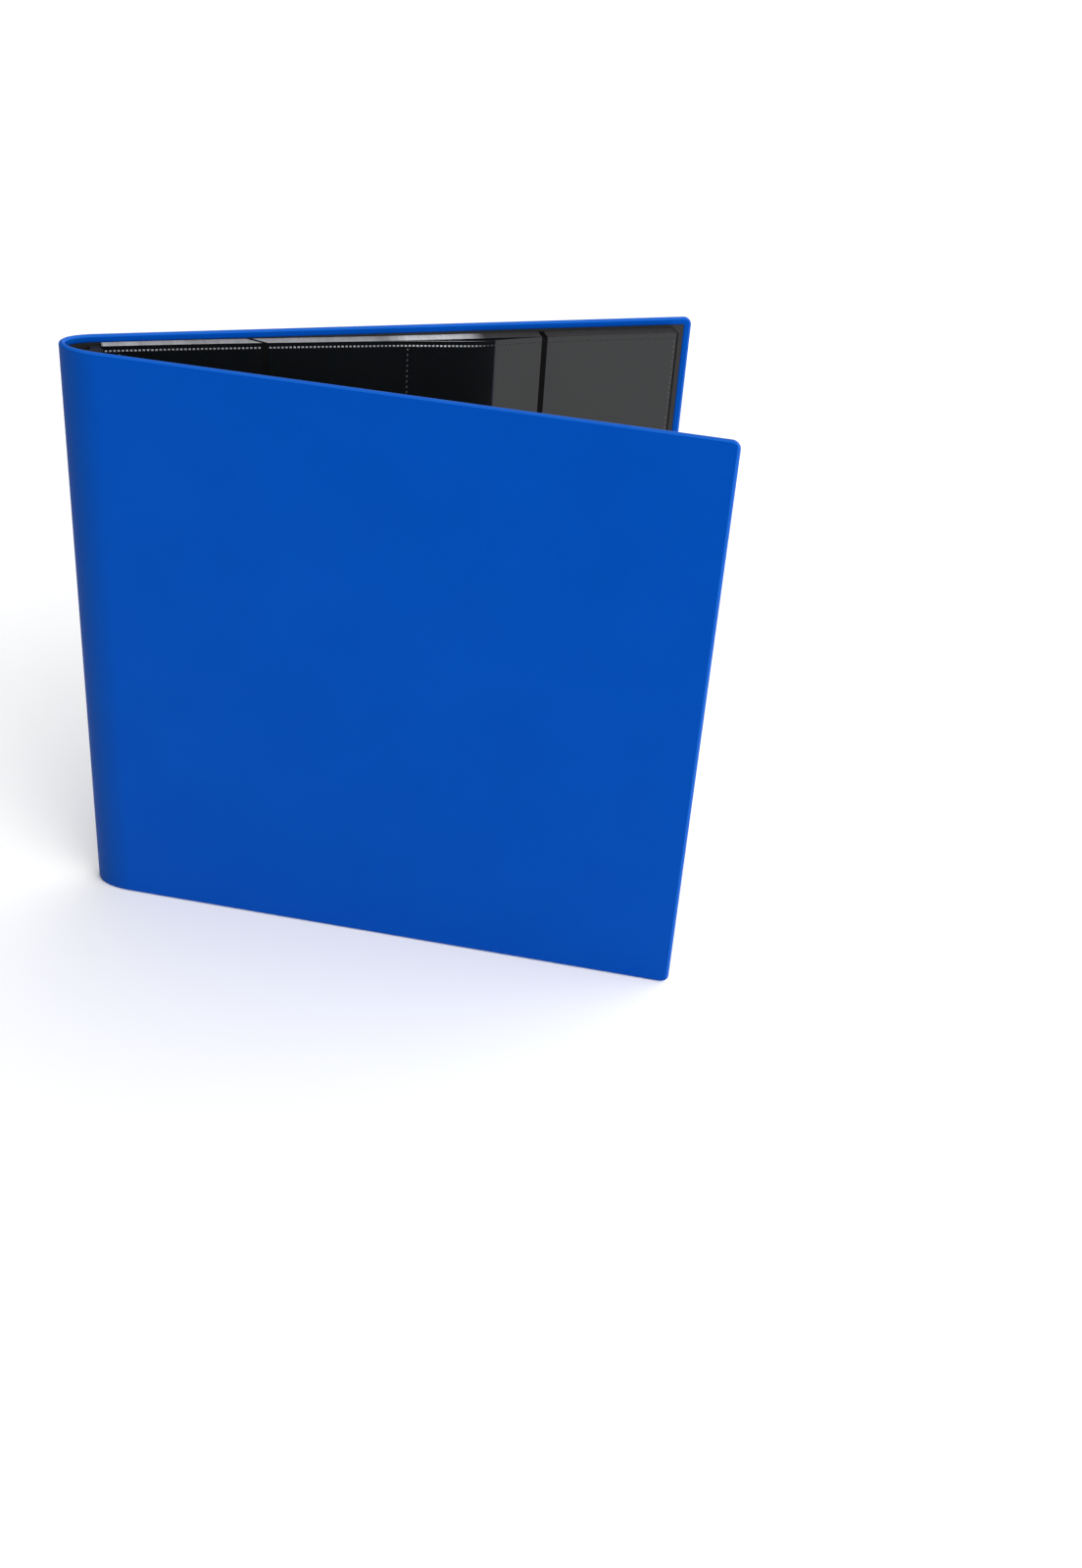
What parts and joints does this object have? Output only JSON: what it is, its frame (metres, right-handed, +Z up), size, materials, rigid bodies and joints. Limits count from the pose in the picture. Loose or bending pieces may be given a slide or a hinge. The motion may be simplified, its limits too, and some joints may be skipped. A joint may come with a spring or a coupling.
{
  "type": "trading card binder",
  "caption": "Square fixed-page trading card binder with soft round spine, side-loading pocket pages and an elastic closing strap, standing part open.",
  "frame": {"origin": "foot of the spine, in the middle of its wall, on the surface that the binder stands on", "axes": "+Z up along the spine, +X along the back cover from the spine to its fore edge, -Y towards the front cover"},
  "size_m": [0.3215, 0.163, 0.315],
  "materials": {
    "blue_leatherette": "satin",
    "foam": "matte",
    "board": "matte",
    "black_lining": "satin",
    "pocket_film": "gloss",
    "fused_margin": "satin",
    "binding_tape": "matte",
    "black_thread": "matte",
    "elastic": "matte",
    "blue_thread": "matte"
  },
  "bodies": {
    "spine": {"spine_skin": "blue_leatherette", "spine_foam": "foam", "spine_lining": "black_lining", "front_crease": "blue_leatherette", "back_crease": "blue_leatherette", "binding_block": "fused_margin", "page_gutters": "pocket_film", "binding_tape": "binding_tape", "binding_stitches": "black_thread"},
    "front_cover": {"front_cover_skin": "blue_leatherette", "front_cover_foam": "foam", "front_cover_board": "board", "front_cover_lining": "black_lining"},
    "back_cover": {"back_cover_skin": "blue_leatherette", "back_cover_foam": "foam", "back_cover_board": "board", "back_cover_lining": "black_lining", "strap_inner_run": "elastic", "strap_upper_end": "elastic", "strap_lower_end": "elastic", "upper_hem_stitches": "blue_thread", "lower_hem_stitches": "blue_thread"},
    "strap": {"elastic_strap": "elastic"},
    "leaf_01": {"leaf_01": "pocket_film"},
    "leaf_02": {"leaf_02": "pocket_film"},
    "leaf_03": {"leaf_03": "pocket_film"},
    "leaf_04": {"leaf_04": "pocket_film"},
    "leaf_05": {"leaf_05": "pocket_film"},
    "leaf_06": {"leaf_06": "pocket_film"},
    "leaf_07": {"leaf_07": "pocket_film"},
    "leaf_08": {"leaf_08": "pocket_film"},
    "leaf_09": {"leaf_09": "pocket_film"},
    "leaf_10": {"leaf_10": "pocket_film"},
    "leaf_11": {"leaf_11": "pocket_film"},
    "leaf_12": {"leaf_12": "pocket_film"},
    "leaf_13": {"leaf_13": "pocket_film"},
    "leaf_14": {"leaf_14": "pocket_film"},
    "leaf_15": {"leaf_15": "pocket_film"},
    "leaf_16": {"leaf_16": "pocket_film"},
    "leaf_17": {"leaf_17": "pocket_film"},
    "leaf_18": {"leaf_18": "pocket_film"},
    "leaf_19": {"leaf_19": "pocket_film"},
    "leaf_20": {"leaf_20": "pocket_film"}
  },
  "joints": [
    {"name": "front_hinge", "type": "hinge", "parent": "spine", "child": "front_cover", "pos_m": [0.011, -0.011, 0.1575], "axis": [0, 0, -1], "range_deg": [-26, 64]},
    {"name": "back_hinge", "type": "hinge", "parent": "spine", "child": "back_cover", "pos_m": [0.011, 0.011, 0.1575], "axis": [0, 0, 1], "range_deg": [0, 90]},
    {"name": "strap_pull", "type": "slide", "parent": "back_cover", "child": "strap", "axis": [0, 1, 0], "range_m": [0, 0.025], "stiffness_N_per_m": 60, "deforming": ["strap_upper_end", "strap_lower_end"]},
    {"name": "leaf_01_turn", "type": "hinge", "parent": "spine", "child": "leaf_01", "pos_m": [0.019, 0.00668, 0.1575], "axis": [0, 0, 1], "range_deg": [0, 88.7], "deforming": ["page_gutters"]},
    {"name": "leaf_02_turn", "type": "hinge", "parent": "spine", "child": "leaf_02", "pos_m": [0.019, 0.00668, 0.1575], "axis": [0, 0, 1], "range_deg": [0, 87.7]},
    {"name": "leaf_03_turn", "type": "hinge", "parent": "spine", "child": "leaf_03", "pos_m": [0.019, 0.00668, 0.1575], "axis": [0, 0, 1], "range_deg": [0, 86.71]},
    {"name": "leaf_04_turn", "type": "hinge", "parent": "spine", "child": "leaf_04", "pos_m": [0.019, 0.00668, 0.1575], "axis": [0, 0, 1], "range_deg": [0, 85.71]},
    {"name": "leaf_05_turn", "type": "hinge", "parent": "spine", "child": "leaf_05", "pos_m": [0.019, 0.00668, 0.1575], "axis": [0, 0, 1], "range_deg": [0, 84.72]},
    {"name": "leaf_06_turn", "type": "hinge", "parent": "spine", "child": "leaf_06", "pos_m": [0.019, 0.00668, 0.1575], "axis": [0, 0, 1], "range_deg": [0, 83.72]},
    {"name": "leaf_07_turn", "type": "hinge", "parent": "spine", "child": "leaf_07", "pos_m": [0.019, 0.00668, 0.1575], "axis": [0, 0, 1], "range_deg": [0, 82.73]},
    {"name": "leaf_08_turn", "type": "hinge", "parent": "spine", "child": "leaf_08", "pos_m": [0.019, 0.00668, 0.1575], "axis": [0, 0, 1], "range_deg": [0, 81.73]},
    {"name": "leaf_09_turn", "type": "hinge", "parent": "spine", "child": "leaf_09", "pos_m": [0.019, 0.00668, 0.1575], "axis": [0, 0, 1], "range_deg": [0, 80.74]},
    {"name": "leaf_10_turn", "type": "hinge", "parent": "spine", "child": "leaf_10", "pos_m": [0.019, 0.00668, 0.1575], "axis": [0, 0, 1], "range_deg": [0, 79.74]},
    {"name": "leaf_11_turn", "type": "hinge", "parent": "spine", "child": "leaf_11", "pos_m": [0.019, 0.00668, 0.1575], "axis": [0, 0, 1], "range_deg": [0, 78.75]},
    {"name": "leaf_12_turn", "type": "hinge", "parent": "spine", "child": "leaf_12", "pos_m": [0.019, 0.00668, 0.1575], "axis": [0, 0, 1], "range_deg": [0, 77.76]},
    {"name": "leaf_13_turn", "type": "hinge", "parent": "spine", "child": "leaf_13", "pos_m": [0.019, 0.00668, 0.1575], "axis": [0, 0, 1], "range_deg": [0, 76.77]},
    {"name": "leaf_14_turn", "type": "hinge", "parent": "spine", "child": "leaf_14", "pos_m": [0.019, 0.00668, 0.1575], "axis": [0, 0, 1], "range_deg": [0, 75.77]},
    {"name": "leaf_15_turn", "type": "hinge", "parent": "spine", "child": "leaf_15", "pos_m": [0.019, 0.00668, 0.1575], "axis": [0, 0, 1], "range_deg": [0, 74.78]},
    {"name": "leaf_16_turn", "type": "hinge", "parent": "spine", "child": "leaf_16", "pos_m": [0.019, 0.00668, 0.1575], "axis": [0, 0, 1], "range_deg": [0, 73.78]},
    {"name": "leaf_17_turn", "type": "hinge", "parent": "spine", "child": "leaf_17", "pos_m": [0.019, 0.00668, 0.1575], "axis": [0, 0, 1], "range_deg": [0, 72.79]},
    {"name": "leaf_18_turn", "type": "hinge", "parent": "spine", "child": "leaf_18", "pos_m": [0.019, 0.00668, 0.1575], "axis": [0, 0, 1], "range_deg": [0, 71.79]},
    {"name": "leaf_19_turn", "type": "hinge", "parent": "spine", "child": "leaf_19", "pos_m": [0.019, 0.00668, 0.1575], "axis": [0, 0, 1], "range_deg": [0, 70.8]},
    {"name": "leaf_20_turn", "type": "hinge", "parent": "spine", "child": "leaf_20", "pos_m": [0.019, 0.00668, 0.1575], "axis": [0, 0, 1], "range_deg": [0, 69.8]}
  ],
  "couplings": [
    {"joint": "leaf_01_turn", "follows": "back_hinge", "ratio": 0.985},
    {"joint": "leaf_02_turn", "follows": "back_hinge", "ratio": 0.9739},
    {"joint": "leaf_03_turn", "follows": "back_hinge", "ratio": 0.9629},
    {"joint": "leaf_04_turn", "follows": "back_hinge", "ratio": 0.9518},
    {"joint": "leaf_05_turn", "follows": "back_hinge", "ratio": 0.9408},
    {"joint": "leaf_06_turn", "follows": "back_hinge", "ratio": 0.9297},
    {"joint": "leaf_07_turn", "follows": "back_hinge", "ratio": 0.9187},
    {"joint": "leaf_08_turn", "follows": "back_hinge", "ratio": 0.9076},
    {"joint": "leaf_09_turn", "follows": "back_hinge", "ratio": 0.8966},
    {"joint": "leaf_10_turn", "follows": "back_hinge", "ratio": 0.8855},
    {"joint": "leaf_11_turn", "follows": "back_hinge", "ratio": 0.8745},
    {"joint": "leaf_12_turn", "follows": "back_hinge", "ratio": 0.8634},
    {"joint": "leaf_13_turn", "follows": "back_hinge", "ratio": 0.8524},
    {"joint": "leaf_14_turn", "follows": "back_hinge", "ratio": 0.8413},
    {"joint": "leaf_15_turn", "follows": "back_hinge", "ratio": 0.8303},
    {"joint": "leaf_16_turn", "follows": "back_hinge", "ratio": 0.8192},
    {"joint": "leaf_17_turn", "follows": "back_hinge", "ratio": 0.8082},
    {"joint": "leaf_18_turn", "follows": "back_hinge", "ratio": 0.7971},
    {"joint": "leaf_19_turn", "follows": "back_hinge", "ratio": 0.7861},
    {"joint": "leaf_20_turn", "follows": "back_hinge", "ratio": 0.775}
  ]
}
